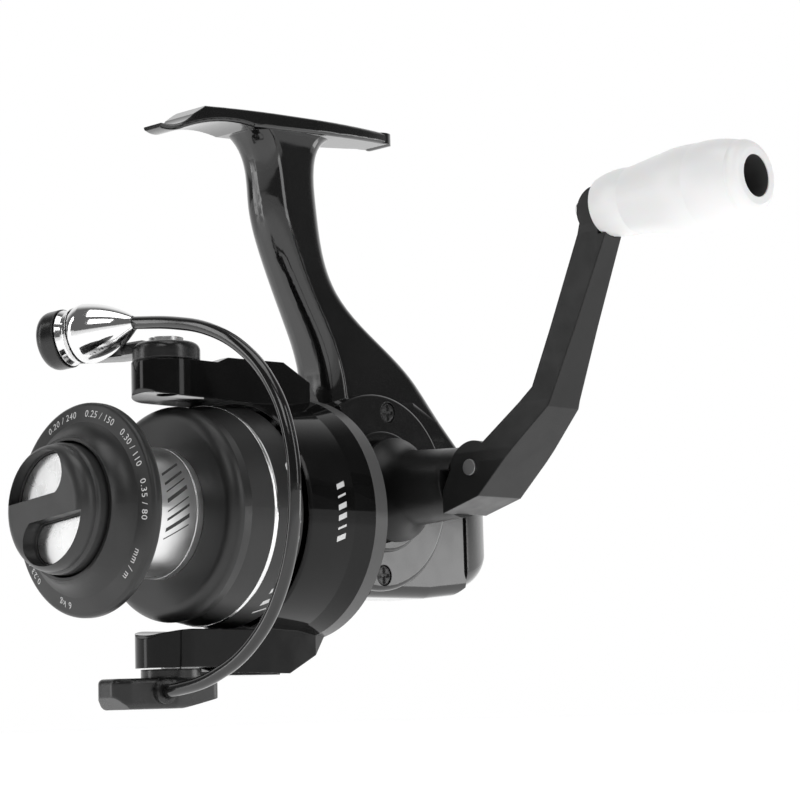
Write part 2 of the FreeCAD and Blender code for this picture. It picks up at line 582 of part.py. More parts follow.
def housing_profile(y_half, grow=0.0, x_back=None):
    """The rear of the gearbox seen from the side, as a slab of that half thickness."""
    back = val("cap_x") if x_back is None else x_back
    points = [Vector(-86, 0, 31.5 + grow), Vector(-104, 0, 33 + grow), Vector(-114, 0, 28.6 + grow),
              Vector(-121.5, 0, 21.4 + grow), Vector(back, 0, 17.6 + grow), Vector(back, 0, -16.4 - grow),
              Vector(-119, 0, -18.4 - grow), Vector(-108, 0, -19.4 - grow), Vector(-86, 0, -19.4 - grow)]
    slab = Part.Face(Part.makePolygon(points + points[:1])).extrude(Vector(0, 2 * y_half, 0))
    slab.translate(Vector(0, -y_half, 0))
    return slab


def make_frame():
    """Foot, stem and gearbox are one casting. Its handle side is closed by the cover."""
    cx, cz = val("crank_x"), val("crank_z")
    box_r, y0, y1, wall = val("box_r"), val("box_back_y"), val("box_cover_y"), val("wall")
    drum = cylinder(box_r, y0, y1, "y", (cx, cz))
    rear = housing_profile(9.0)
    rear_edges = [e for e in rear.Edges if e.BoundBox.YLength < 0.01 and e.BoundBox.XLength > 3]
    rear = rear.makeFillet(3.0, rear_edges)
    plate_x, plate_back = val("plate_x"), val("plate_back_x")
    drum = drum.cut(block(plate_x, -50, -40, 40, -40, 40))
    neck = cylinder(val("neck_r"), plate_back, val("neck_x"))
    plate = cylinder(25.6, plate_back, plate_x)
    shape = drum.fuse([rear, neck, plate, stem_shape(), foot_shape()])
    # Hollows: the gear room and the slider's room behind it.
    room = cylinder(box_r - wall, y0 + wall, y1 + 1, "y", (cx, cz))
    room = room.cut(block(-70.4, -50, -40, 40, -40, 40))
    back_room = block(val("cap_x") - 1, -100, -8.0, 7.0, -13.5, 14)
    shape = shape.cut(room.fuse(back_room))
    # A wall across the gear room for the pinion's rear bushing, and a post behind it
    # for the oscillation gear.
    floor_y = y0 + wall - 0.5
    shape = shape.fuse(block(-83.4, -80.4, -4.6, 2.2, -17, 4.6))
    shape = shape.fuse(cylinder(2.0, floor_y, -5.6, "y", (val("osc_x"), 0)))
    shape = shape.fuse(cylinder(3.2, floor_y, -7.9, "y", (val("osc_x"), 0)))
    # The seats in the neck and in that wall.
    shape = shape.cut(cylinder(11.05, -69.7, -60))
    shape = shape.cut(cylinder(8.05, -72, -60))
    shape = shape.cut(cylinder(4.6, -79, -60))
    shape = shape.cut(cylinder(3.75, -90, -79.5))
    shape = shape.cut(cylinder(val("gear_shaft_r") + 3.05, y0 - 1, y0 + wall + 1, "y", (cx, cz)))
    keep_shape("reel_frame", shape.removeSplitter())


def make_cover():
    """The side cover on the handle side, with the raised boss round the crank."""
    cx, cz = val("crank_x"), val("crank_z")
    base = cylinder(val("box_r"), val("box_cover_y") + 0.02, 11.6, "y", (cx, cz))
    rim = [e for e in base.Edges if abs(e.BoundBox.YMin - 11.6) < 0.01 and len(e.Vertexes) == 1]
    base = base.makeFillet(1.4, rim)
    boss = cylinder(val("boss_r"), 11.0, val("boss_y"), "y", (cx, cz))
    rim = [e for e in boss.Edges if abs(e.BoundBox.YMin - val("boss_y")) < 0.01 and len(e.Vertexes) == 1]
    boss = boss.makeFillet(1.0, rim)
    cover = base.fuse(boss).cut(block(val("plate_back_x") - 0.05, -50, 0, 40, -40, 40))
    cover = cover.cut(cylinder(6.55, 0, 20, "y", (cx, cz)))
    for x, z in COVER_SCREWS:
        cover = cover.cut(cylinder(1.6, 0, 20, "y", (x, z)))
        cover = cover.cut(cylinder(2.7, 10.4, 20, "y", (x, z)))
    keep_shape("side_cover", cover.removeSplitter())
    heads = []
    for x, z in COVER_SCREWS:
        head = cylinder(2.4, 10.45, 11.4, "y", (x, z)).fuse(cylinder(1.4, 9.3, 10.5, "y", (x, z)))
        heads.append(head.cut(block(x - 2, x + 2, 11.0, 12, z - 0.4, z + 0.4)).cut(
            block(x - 0.4, x + 0.4, 11.0, 12, z - 2, z + 2)))
    keep_shape("cover_screws", Part.makeCompound(heads))


COVER_SCREWS = [(-91.0, 27.9), (-88.0, -14.0), (-107.0, 12.0)]


def make_rear_cap():
    back = val("cap_end_x")
    front = val("cap_x") - 0.05
    wires = []
    for x, grow in ((front, 0.4), (front - 4.2, -0.6), (back, -4.6)):
        z1, z0, half = 17.4 + grow, -16.2 - grow, 9.2 + grow
        ring = rounded_section(z0, z1, half, 0, 4.6)
        ring.rotate(Vector(), Vector(0, 1, 0), -90)
        ring.translate(Vector(x, 0, 0))
        wires.append(ring)
    cap = Part.makeLoft(wires, True, False)
    hollow = block(-132.2, front + 1, -5.4, 5.4, -9, 9)
    keep_shape("rear_cap", cap.cut(hollow))


def make_inside():
    """Bearings, the one-way clutch and its retaining ring, and the cap on the far side."""
    journal = "journal_r + fit"
    tube("front_bearing", "-69.6", "-66.6", journal, "11")
    tube("roller_clutch", "-66.5", "-63.7", journal, "11")
    tube("clutch_retainer", "-63.6", "-62.7", "8.4", "11")
    tube("pinion_rear_bushing", "-83.5", "-80.2", "pinion_root_r + fit", "3.7")
    tube("drive_bearing_left", "box_back_y + 0.2", "box_back_y + 2.6", "gear_shaft_r + fit", "gear_shaft_r + 3",
         "V_Axis", CRANK)
    tube("drive_bearing_right", "9.6", "13.6", "gear_shaft_r + fit", "6.5", "V_Axis", CRANK)
    turned("side_cap", [("0", "box_back_y - 2.4"), ("6.6", "box_back_y - 2.4"), ("8.2", "box_back_y - 0.9"),
                        ("8.2", "box_back_y - 0.05"), ("0", "box_back_y - 0.05")], "V_Axis", CRANK)


def make_drive():
    cz = val("crank_z")
    tube("drive_shaft", "-12.6", "15", "1.2", "gear_shaft_r", "V_Axis", CRANK)
    # A face gear: its teeth stand out of the disc, each along a line that passes the
    # spool axis's distance from the gear's own axis, so it meets the pinion in line.
    gear_r = val("gear_r")
    disc = cylinder(gear_r, 4.1, 7.4, "y").cut(cylinder(val("gear_shaft_r") + 0.02, 0, 10, "y"))
    disc = disc.fuse(cylinder(6.2, 4.1, 9.2, "y").cut(cylinder(val("gear_shaft_r") + 0.02, 0, 10, "y")))
    mesh_x = math.sqrt((gear_r - 0.4) ** 2 - cz ** 2)
    for k in range(GEAR_TEETH):
        tooth = block(mesh_x - 2.6, mesh_x, 2.75, 4.2, -cz - 0.32, -cz + 0.32)
        tooth.rotate(Vector(), Vector(0, 1, 0), (k + 0.5) * 360 / GEAR_TEETH)
        disc = disc.fuse(tooth)
    keep_shape("drive_gear", disc.removeSplitter(), CRANK)
    driver = spur(OSC_DRIVER_TEETH, val("osc_pitch_r") / 2, -7.6, -5.2)
    driver.rotate(Vector(), Vector(0, 1, 0), osc_line_angle())
    driver = driver.cut(cylinder(val("gear_shaft_r") + 0.02, -10, 0, "y"))
    keep_shape("oscillation_driver", driver, CRANK)


def osc_line_angle():
    """The angle, about Y, of the line from the handle shaft to the oscillation gear."""
    return math.degrees(math.atan2(val("crank_z"), val("osc_x") - val("crank_x")))


def spur(teeth, pitch_r, y0, y1):
    """A spur gear about Y with straight-sided teeth, one of them pointing along +X."""
    root_r, tip_r = pitch_r - 1.15, pitch_r + 0.8
    step = 2 * math.pi / teeth
    points = []
    for k in range(teeth):
        for r, half in ((root_r, 0.85), (tip_r, 0.36), (tip_r, -0.36), (root_r, -0.85)):
            a = k * step - half / r
            points.append(Vector(r * math.cos(a), y0, r * math.sin(a)))
    return Part.Face(Part.makePolygon(points + points[:1])).extrude(Vector(0, y1 - y0, 0))


GRIP = ("rim_x + crank_x", "0", "axis_z + crank_z + grip_z")


def circle(x, y, radius):
    """A full circle for a sketch, as two half arcs."""
    return [(f"{x} + {radius}", y, radius), (f"{x} - ({radius})", y, radius)]


def make_shank():
    """The bell and shank screwed to the handle shaft, with the tongue of the fold joint."""
    body = turned("handle_shank", [
        ("0", "15.05"), ("11.6", "15.05"), ("bell_r", "16.4"), ("bell_r", "17.6", "-11"), ("9.4", "26"),
        ("shank_r", "38.4"), ("shank_r", "44"), ("0", "44"),
    ], "V_Axis", CRANK)
    doc.recompute()
    pad(body, "YZ_Plane", circle("pin_y", "pin_z", "7"), "40", symmetric=True, cut=True)
    pad(body, "YZ_Plane", [("39.7", "-12"), ("50", "-12"), ("50", "pin_z"), ("39.7", "pin_z")], "40",
        symmetric=True, cut=True)
    tongue = [("38", "pin_z - 4.2"), ("pin_y", "pin_z - 4.2", "4.2"), ("pin_y", "pin_z + 4.2"),
              ("38", "pin_z + 4.2")]
    pad(body, "YZ_Plane", tongue, "5.6", symmetric=True)
    pad(body, "YZ_Plane", circle("pin_y", "pin_z", "pin_r + fit"), "40", symmetric=True, cut=True)


def make_handle_arm():
    """The crank arm: its side outline, thinned towards the top, with a fork for the tongue."""
    py, pz, grip_y = val("pin_y"), val("pin_z"), val("grip_y")
    gz, round_r, boss_r = val("grip_z"), 6.6, 4.9
    boss = Vector(0, 86.3, gz - 0.2)
    rest = math.radians(30)
    knuckle = Vector(0, py + round_r * math.sin(rest), pz + round_r * math.cos(rest))
    line = [
        Part.LineSegment(Vector(0, 40.1, -8.0), Vector(0, 51.6, -4.6)).toShape(),
        Part.LineSegment(Vector(0, 51.6, -4.6), Vector(0, 72.6, 15.2)).toShape(),
        Part.LineSegment(Vector(0, 72.6, 15.2), Vector(0, boss.y + boss_r - 0.6, boss.z - 5)).toShape(),
        Part.Arc(Vector(0, boss.y + boss_r - 0.6, boss.z - 5), boss + Vector(0, 0.4, boss_r),
                 Vector(0, boss.y - boss_r + 0.9, boss.z - 3.4)).toShape(),
        Part.LineSegment(Vector(0, boss.y - boss_r + 0.9, boss.z - 3.4), Vector(0, 67.4, 20.4)).toShape(),
        Part.LineSegment(Vector(0, 67.4, 20.4), knuckle).toShape(),
        Part.Arc(knuckle,
                 Vector(0, py - round_r * 0.6, pz + round_r * 0.8), Vector(0, py - round_r, pz)).toShape(),
        Part.LineSegment(Vector(0, py - round_r, pz), Vector(0, 40.1, -2.6)).toShape(),
        Part.LineSegment(Vector(0, 40.1, -2.6), Vector(0, 40.1, -8.0)).toShape(),
    ]
    side = Part.Face(Part.Wire(line)).extrude(Vector(20, 0, 0))
    side.translate(Vector(-10, 0, 0))
    half = [(7.9, -10), (7.9, 5), (5.4, 17), (4.1, 34), (3.0, gz - 6), (3.3, gz - 4), (3.3, gz + 10)]
    points = [Vector(x, 0, z) for x, z in half] + [Vector(-x, 0, z) for x, z in reversed(half)]
    front = Part.Face(Part.makePolygon(points + points[:1])).extrude(Vector(0, 120, 0))
    arm = side.common(front)
    outer = [e for e in arm.Edges if e.BoundBox.YLength > 14 and e.BoundBox.XLength < 4]
    arm = arm.makeChamfer(1.3, outer)
    # The fork's slot is open above and towards the shank, and closed below.
    slot_r = 4.6
    arm = arm.cut(block(-3.0, 3.0, 30, py, pz - slot_r, 20)).cut(block(-3.0, 3.0, 30, py + slot_r, pz, 20))
    arm = arm.cut(cylinder(slot_r, -3.0, 3.0, "x", (py, pz)))
    arm = arm.cut(cylinder(val("pin_r"), -12, 12, "x", (py, pz)))
    arm = arm.cut(cylinder(2.42, 70, 100, "y", (0, gz)))
    # The grip's hollow base passes over the end of the arm.
    skirt_room = cylinder(7.5, grip_y - 0.4, 100, "y", (0, gz)).cut(cylinder(5.8, 80, 101, "y", (0, gz)))
    arm = arm.cut(skirt_room).cut(block(-20, 20, 91.3, 110, 40, 80))
    keep_shape("handle_arm", arm.removeSplitter(), CRANK)
    pin = cylinder(val("pin_r") - 0.01, -8.2, 8.1, "x", (py, pz)).fuse(cylinder(1.95, 7.95, 8.5, "x", (py, pz)))
    keep_shape("fold_pin", pin, CRANK)
    post = cylinder(2.4, 80.6, 118.4, "y", (0, gz)).fuse(cylinder(4.0, 118.4, 121.0, "y", (0, gz)))
    post = post.cut(block(-0.5, 0.5, 120.2, 122, gz - 5, gz + 5))
    keep_shape("grip_post", post, CRANK)
    washer = cylinder(4.2, 91.32, 91.8, "y", (0, gz)).cut(cylinder(2.42, 80, 100, "y", (0, gz)))
    keep_shape("grip_washer", washer, CRANK)


def make_grip():
    body = turned("handle_grip", [
        ("2.5", "92.0"), ("6.2", "92.0"), ("6.2", "grip_y"), ("6.9", "grip_y", "20"), ("7.9", "97"),
        ("grip_r - 0.3", "108", "30"), ("grip_r", "117", "26"), ("8.6", "128", "2.6"),
        ("6.6", "grip_end_y"), ("grip_hole_r", "grip_end_y"), ("grip_hole_r", "118.2"), ("2.5", "118.2"),
    ], "V_Axis", GRIP)
    return body


def make_oscillation():
    """The gear whose crank pin moves the slider, and with it the main shaft, to and fro."""
    gear = spur(OSC_GEAR_TEETH, val("osc_pitch_r"), -7.6, -5.2)
    gear.rotate(Vector(), Vector(0, 1, 0), 180 + osc_line_angle() + 180 / OSC_GEAR_TEETH)
    gear = gear.fuse(cylinder(1.2, -5.4, -4.5, "y", (val("stroke") / 2, 0)))
    gear = gear.cut(cylinder(2.05, -9, -5, "y"))
    keep_shape("oscillation_gear", gear, ("rim_x + osc_x", "0", "axis_z"))


def make_main_shaft():
    turned("main_shaft", [("-112", "0"), ("-112", "shaft_r"), ("4.7", "shaft_r"), ("5.2", "shaft_r - 0.5"),
                          ("5.2", "0")])
    pin_x = val("osc_x + stroke / 2")
    slider = block(pin_x - 3.4, pin_x + 3.4, -4.1, 2.3, -7.5, 3.4)
    slider = slider.cut(cylinder(val("shaft_r") + 0.01, -120, -80))
    slider = slider.cut(block(pin_x - 1.3, pin_x + 1.3, -5, -2.6, -6.6, 2.6))
    keep_shape("shaft_slider", slider)


make_spool()
make_spool_parts()
make_knob()
make_rotor()
make_rotor_parts()
make_pinion()
make_bail()
make_bail_wire()
make_roller()
make_frame()
make_cover()
make_rear_cap()
make_inside()
make_drive()
make_shank()
make_handle_arm()
make_grip()
make_oscillation()
make_main_shaft()

doc.recompute()
for obj in doc.Objects:
    bad = [s for s in obj.State if s in ("Invalid", "Error")]
    if bad:
        raise SystemExit(f"{obj.Name}: {obj.State}")
for obj in parts:
    if obj.Shape.isNull() or not obj.Shape.isValid():
        raise SystemExit(f"{obj.Label}: its shape is not valid")

os.makedirs("parts", exist_ok=True)
for old in os.listdir("parts"):
    os.remove(os.path.join("parts", old))
for obj in parts:
    obj.Shape.exportStep(f"parts/{obj.Label}.step")
    box = obj.Shape.BoundBox
    print(f"{obj.Label:24s} {obj.Shape.Volume:9.1f} mm3  {len(obj.Shape.Solids)} solid(s)  "
          f"{box.XLength:.1f} x {box.YLength:.1f} x {box.ZLength:.1f}")
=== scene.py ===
import math

import bmesh
import bpy
from mathutils import Matrix, Vector
from mathutils.bvhtree import BVHTree


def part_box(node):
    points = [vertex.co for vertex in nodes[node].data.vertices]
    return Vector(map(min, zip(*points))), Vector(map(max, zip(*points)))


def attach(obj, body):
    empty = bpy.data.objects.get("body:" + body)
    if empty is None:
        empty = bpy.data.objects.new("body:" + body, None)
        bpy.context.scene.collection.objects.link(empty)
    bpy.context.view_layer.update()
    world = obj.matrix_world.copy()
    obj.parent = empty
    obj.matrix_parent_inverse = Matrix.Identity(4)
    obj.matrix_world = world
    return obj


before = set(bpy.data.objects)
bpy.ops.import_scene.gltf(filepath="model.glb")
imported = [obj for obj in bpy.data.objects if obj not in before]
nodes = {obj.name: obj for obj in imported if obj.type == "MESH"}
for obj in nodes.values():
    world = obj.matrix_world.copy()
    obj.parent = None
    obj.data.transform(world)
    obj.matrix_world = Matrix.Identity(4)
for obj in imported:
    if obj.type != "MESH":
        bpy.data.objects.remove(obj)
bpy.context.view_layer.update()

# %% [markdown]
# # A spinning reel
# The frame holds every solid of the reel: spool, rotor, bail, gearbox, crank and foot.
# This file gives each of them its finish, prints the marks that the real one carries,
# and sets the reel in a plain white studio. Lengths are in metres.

MM = 0.001

# %% [markdown]
# ## Places
# One line rules this reel: the spool axis, which runs along X. Its height is read from the
# main shaft, which lies on it, and the places along it from the solids that carry a mark.
# So a mark laid out round the axis stays right if a size of the reel changes.

# %% The spool axis
shaft_low, shaft_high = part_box("main_shaft")
AXIS_Z = (shaft_low.z + shaft_high.z) / 2
SKIRT_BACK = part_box("spool")[0].x
ROTOR_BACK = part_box("rotor")[0].x
print("spool axis height", round(AXIS_Z, 4))
print("back of the skirt and of the rotor", round(SKIRT_BACK, 4), round(ROTOR_BACK, 4))

# %% [markdown]
# ## How a finish is made
# Even a plain black moulding is never one flat colour: it has faint clouds from the
# mould, a fine grain that breaks the gloss and edges worn a little softer. The same
# four ingredients serve every finish here, so one helper lays them down: clouds in the
# colour, clouds in the gloss, grain in the relief and a small rounding of the edges.

# %% Noise and ramps
def link(tree, a, b):
    tree.links.new(a, b)


def clouds(tree, place, scale, detail=4.0):
    """A soft noise over the solid, in its own coordinates."""
    noise = tree.nodes.new("ShaderNodeTexNoise")
    noise.inputs["Scale"].default_value = scale
    noise.inputs["Detail"].default_value = detail
    link(tree, place, noise.inputs["Vector"])
    return noise.outputs["Fac"]


def ramp(tree, value, low, high, start=0.35, end=0.65):
    """Turns a noise value into a run between two colours."""
    node = tree.nodes.new("ShaderNodeValToRGB")
    node.color_ramp.elements[0].position = start
    node.color_ramp.elements[1].position = end
    node.color_ramp.elements[0].color = (*low, 1)
    node.color_ramp.elements[1].color = (*high, 1)
    link(tree, value, node.inputs["Fac"])
    return node.outputs["Color"]


def span(tree, value, low, high):
    """Turns a noise value, which stays mostly in its middle range, into low to high."""
    node = tree.nodes.new("ShaderNodeMapRange")
    node.inputs["From Min"].default_value = 0.3
    node.inputs["From Max"].default_value = 0.7
    node.inputs["To Min"].default_value = low
    node.inputs["To Max"].default_value = high
    link(tree, value, node.inputs["Value"])
    return node.outputs["Result"]

# %% The finish helper
COAT_GLOSS = 0.06
GRAIN_STRENGTH = 0.35


def finish(name, dark, light, gloss, grain=1800, relief=0.02, edge=0.25, cloud=60, metal=0.0, coat=0.0):
    """A finish with clouded colour and gloss, a grain in its relief and softened edges.

    grain and cloud say how fine the noises are; relief and edge are in millimetres.
    """
    made = bpy.data.materials.new(name)
    made.use_nodes = True
    tree = made.node_tree
    shader = tree.nodes["Principled BSDF"]
    place = tree.nodes.new("ShaderNodeTexCoord").outputs["Object"]
    cloud_value = clouds(tree, place, cloud)
    link(tree, ramp(tree, cloud_value, dark, light), shader.inputs["Base Color"])
    link(tree, span(tree, clouds(tree, place, cloud * 3.3), *gloss), shader.inputs["Roughness"])
    shader.inputs["Metallic"].default_value = metal
    shader.inputs["Coat Weight"].default_value = coat
    shader.inputs["Coat Roughness"].default_value = COAT_GLOSS
    rounding = tree.nodes.new("ShaderNodeBevel")
    rounding.samples = 4
    rounding.inputs["Radius"].default_value = edge * MM
    bump = tree.nodes.new("ShaderNodeBump")
    bump.inputs["Strength"].default_value = GRAIN_STRENGTH
    bump.inputs["Distance"].default_value = relief * MM
    link(tree, clouds(tree, place, grain, 2.0), bump.inputs["Height"])
    link(tree, rounding.outputs["Normal"], bump.inputs["Normal"])
    link(tree, bump.outputs["Normal"], shader.inputs["Normal"])
    return made


def grey(value):
    """A neutral colour of one brightness."""
    return (value, value, value)


def shader_of(made):
    return made.node_tree.nodes["Principled BSDF"]


def place_of(made):
    """The finish's own coordinates, which every pattern in it starts from."""
    return next(n for n in made.node_tree.nodes if n.type == "TEX_COORD").outputs["Object"]

# %% [markdown]
# ## Black mouldings
# The gearbox, the stem, the foot and the rotor are glossy black: they mirror the studio
# in long hard-edged streaks. A low roughness gives this, with a thin clear coat over it on
# the casting and on the bail's wire. The spool, the knob and the crank are satin: their
# highlights are wide and soft.

# %% Gloss black and satin black
casting_gloss = finish("casting_gloss_black", grey(0.003), grey(0.006), (0.06, 0.12), grain=900,
                       relief=0.008, coat=0.3)
rotor_gloss = finish("rotor_gloss_black", grey(0.003), grey(0.006), (0.05, 0.11), grain=1000,
                     relief=0.006, edge=0.4)
spool_satin = finish("spool_satin_graphite", grey(0.007), grey(0.011), (0.34, 0.44), grain=2600,
                     relief=0.03, cloud=35)
knob_satin = finish("knob_satin_graphite", grey(0.016), grey(0.022), (0.33, 0.45), grain=2600, relief=0.03)
crank_satin = finish("crank_satin_black", grey(0.006), grey(0.010), (0.30, 0.40), grain=2200, relief=0.03,
                     edge=0.5)
lever_satin = finish("lever_satin_black", grey(0.007), grey(0.011), (0.20, 0.30), grain=2000, relief=0.025,
                     edge=0.7)
wire_enamel = finish("wire_black_enamel", grey(0.003), grey(0.006), (0.07, 0.13), grain=1200, coat=0.3)
# The skins of the rotor and the crank mirror less than the casting's.
for made, mirror in ((rotor_gloss, 0.22), (crank_satin, 0.26)):
    shader_of(made).inputs["Specular IOR Level"].default_value = mirror
blacks = (casting_gloss, rotor_gloss, spool_satin, knob_satin, crank_satin, lever_satin, wire_enamel)
print("black finishes:", ", ".join(made.name for made in blacks))

# %% [markdown]
# ## The rotor's back rim
# The gloss of the rotor stops at its back rim, a narrow band with a matt skin and a
# lighter grey tone; that tone is a painted reflection of the white studio on the rim.
# It is part of the same solid, so the finish itself changes there: a mask reads how far
# along the axis a point lies and blends the two skins.

# %% A matt band with a painted reflection in a finish
# The band that carries the painted reflection, measured from the back of the rotor.
PAINTED_REFLECTION_BAND = (ROTOR_BACK + 1.5 * MM, ROTOR_BACK + 5.6 * MM)
BLUR = 0.05 * MM


def matt_band_painted_reflection(made, x_from, x_to, tone, roughness):
    """Between two places along X the finish is matt, and its lighter tone paints a reflection there."""
    tree = made.node_tree
    shader = shader_of(made)
    split = tree.nodes.new("ShaderNodeSeparateXYZ")
    link(tree, place_of(made), split.inputs["Vector"])
    sides = []
    for start, end in ((x_from - BLUR, x_from + BLUR), (x_to + BLUR, x_to - BLUR)):
        side = tree.nodes.new("ShaderNodeMapRange")
        side.inputs["From Min"].default_value = start
        side.inputs["From Max"].default_value = end
        link(tree, split.outputs["X"], side.inputs["Value"])
        sides.append(side.outputs["Result"])
    inside = tree.nodes.new("ShaderNodeMath")
    inside.operation = "MULTIPLY"
    link(tree, sides[0], inside.inputs[0])
    link(tree, sides[1], inside.inputs[1])
    for socket, kind, a, b, other in (("Base Color", "RGBA", 6, 7, (*tone, 1)),
                                      ("Roughness", "FLOAT", 2, 3, roughness)):
        blend = tree.nodes.new("ShaderNodeMix")
        blend.data_type = kind
        link(tree, inside.outputs[0], blend.inputs[0])
        link(tree, shader.inputs[socket].links[0].from_socket, blend.inputs[a])
        blend.inputs[b].default_value = other
        link(tree, blend.outputs[2 if kind == "RGBA" else 0], shader.inputs[socket])


# The rim's lighter grey tone is a painted reflection; the higher roughness is the matt skin.
matt_band_painted_reflection(rotor_gloss, *PAINTED_REFLECTION_BAND, tone=grey(0.085), roughness=0.32)
print("matt rim from", round(PAINTED_REFLECTION_BAND[0], 4), "to", round(PAINTED_REFLECTION_BAND[1], 4))

# %% [markdown]
# ## Bright metal
# The line roller and the cone behind it are polished and plated. The spool's sleeve and
# the ring on its skirt are turned on a lathe, so fine rings run round them: a wave that
# changes only along the axis of turning. The two plates in the drag knob are brushed flat,
# and there the same wave runs across, along Z.

# %% Chrome, steel and brass
chrome = finish("polished_chrome", grey(0.72), grey(0.80), (0.04, 0.09), grain=700, relief=0.004, metal=1.0)
steel = finish("machined_steel", grey(0.42), grey(0.52), (0.22, 0.34), grain=1500, relief=0.01, metal=1.0)
brass = finish("machined_brass", (0.52, 0.36, 0.14), (0.62, 0.44, 0.18), (0.22, 0.32), relief=0.01, metal=1.0)

# %% Turned silver
# A wave of scale 1 repeats about every 0.314 units.
WAVE_LENGTH = 0.314


def turned_metal(name, dark, light, gloss, ring_pitch, axis="X", relief=0.01):
    """A metal finish with fine rings along an axis, as a lathe tool leaves them."""
    made = finish(name, dark, light, gloss, relief=0.006, metal=1.0)
    tree = made.node_tree
    wave = tree.nodes.new("ShaderNodeTexWave")
    wave.wave_type = "BANDS"
    wave.bands_direction = axis
    wave.inputs["Scale"].default_value = WAVE_LENGTH / (ring_pitch * MM)
    wave.inputs["Distortion"].default_value = 0.6
    wave.inputs["Detail"].default_value = 2.0
    link(tree, place_of(made), wave.inputs["Vector"])
    rings = tree.nodes.new("ShaderNodeBump")
    rings.inputs["Strength"].default_value = 0.3
    rings.inputs["Distance"].default_value = relief * MM
    link(tree, wave.outputs["Fac"], rings.inputs["Height"])
    bump = next(n for n in tree.nodes if n.type == "BUMP" and n is not rings)
    link(tree, bump.outputs["Normal"], rings.inputs["Normal"])
    link(tree, rings.outputs["Normal"], shader_of(made).inputs["Normal"])
    return made


arbor_silver = turned_metal("arbor_turned_silver", grey(0.74), grey(0.82), (0.28, 0.38), ring_pitch=0.35,
                            relief=0.003)
trim_silver = turned_metal("trim_bright_silver", grey(0.74), grey(0.84), (0.14, 0.22), ring_pitch=0.3)
plate_silver = turned_metal("knob_plate_silver", grey(0.55), grey(0.68), (0.22, 0.34), ring_pitch=1.1,
                            axis="Z", relief=0.002)
metals = (chrome, steel, brass, arbor_silver, trim_silver, plate_silver)
print("metal finishes:", ", ".join(made.name for made in metals))

# %% [markdown]
# ## White grip and felt
# The grip is a dense white moulding with a faint sheen and a little light passing under
# its skin. The drag's friction washers are pressed felt, rough and fibrous.

# %% The light and the soft finishes
grip_white = finish("grip_white_moulding", (0.755, 0.755, 0.757), (0.785, 0.785, 0.785), (0.28, 0.34),
                    grain=1400, relief=0.02, cloud=25)
shader_of(grip_white).inputs["Subsurface Weight"].default_value = 0.15
shader_of(grip_white).inputs["Subsurface Scale"].default_value = 1.5 * MM
felt = finish("pressed_felt", (0.10, 0.095, 0.085), (0.17, 0.16, 0.145), (0.85, 0.95), grain=2400,
              relief=0.25)
print("soft finishes:", grip_white.name, felt.name)

# %% [markdown]
# ## Dressing the solids
# Each solid keeps its shape and takes its finish through its material slots. The list
# below goes finish by finish, as a workshop would send the pieces out to be coated.

# %% Finish by finish
DRESS = [
    (casting_gloss, ["reel_frame", "side_cover", "rear_cap", "side_cap"]),
    (rotor_gloss, ["rotor", "arm_cover"]),
    (spool_satin, ["spool", "line_clip"]),
    (knob_satin, ["drag_knob"]),
    (crank_satin, ["handle_shank", "handle_arm"]),
    (lever_satin, ["bail_arm", "bail_lever", "cover_screws"]),
    (wire_enamel, ["bail_wire"]),
    (chrome, ["roller_cone", "line_roller"]),
    (arbor_silver, ["arbor_sleeve"]),
    (trim_silver, ["skirt_trim_ring"]),
    (plate_silver, ["knob_plates"]),
    (grip_white, ["handle_grip"]),
    (felt, ["drag_felt_washers"]),
    (brass, ["drive_gear", "pinion_gear", "oscillation_gear", "oscillation_driver", "spool_bushing",
             "pinion_rear_bushing"]),
]
finish_of = {name: made for made, names in DRESS for name in names}
for name, solid in nodes.items():
    solid.data.materials.clear()
    solid.data.materials.append(finish_of.get(name, steel))
print("solids dressed:", len(nodes), " of them in steel:", len(nodes) - len(finish_of))

# %% [markdown]
# ## Printed marks
# The real spool carries printed figures round its lip and printed marks on its skirt and
# its sleeve, and the rotor carries some on its side. A print lies on the surface like a
# skin, so each mark is drawn flat and then laid on the solid: a line is dropped from every
# point of the mark to the solid's own surface, and the point is lifted off it by the
# thickness of the ink.

# %% Laying a mark on a solid
PRINT_LIFT = 0.03 * MM
AHEAD = 200 * MM
AROUND = 60 * MM


def surface_of(name):
    """The surface of a solid, ready to have lines dropped on it."""
    data = nodes[name].data
    return BVHTree.FromPolygons([v.co for v in data.vertices], [p.vertices for p in data.polygons])


def laid_from_front(tree, radius, angle):
    """The surface point met by a line along the spool axis. The angle runs from up, clockwise."""
    start = Vector((AHEAD, radius * math.sin(angle), AXIS_Z + radius * math.cos(angle)))
    hit, normal, _, _ = tree.ray_cast(start, Vector((-1, 0, 0)))
    return hit + normal * PRINT_LIFT


def laid_from_side(tree, x, angle):
    """The surface point met by a line that comes in towards the spool axis."""
    outward = Vector((0, math.sin(angle), math.cos(angle)))
    start = Vector((x, 0, AXIS_Z)) + outward * AROUND
    hit, normal, _, _ = tree.ray_cast(start, -outward)
    return hit + normal * PRINT_LIFT


def piece(name, points, faces, material, body):
    """A new mesh piece that rides on a body."""
    data = bpy.data.meshes.new(name)
    data.from_pydata([tuple(p) for p in points], [], faces)
    data.update()
    made = bpy.data.objects.new(name, data)
    bpy.context.scene.collection.objects.link(made)
    data.materials.append(material)
    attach(made, body)
    return made

# %% Two inks
print_white = finish("print_pale_grey", grey(0.52), grey(0.62), (0.42, 0.52), relief=0.01, edge=0.02)
print_dark = finish("print_dark_grey", grey(0.03), grey(0.05), (0.38, 0.48), relief=0.01, edge=0.02)
print("inks:", print_white.name, print_dark.name)

# %% [markdown]
# ## Figures round the lip
# A line-capacity scale is a row of pairs, the line's thickness and the length that fits.
# A text object gives the outlines of the figures. They are turned into a flat mesh,
# then each point's place along the line of text becomes an angle round the lip.

# %% Figures
# A figure is as high as the type's size divided by this.
TYPE_PER_FIGURE = 1.42


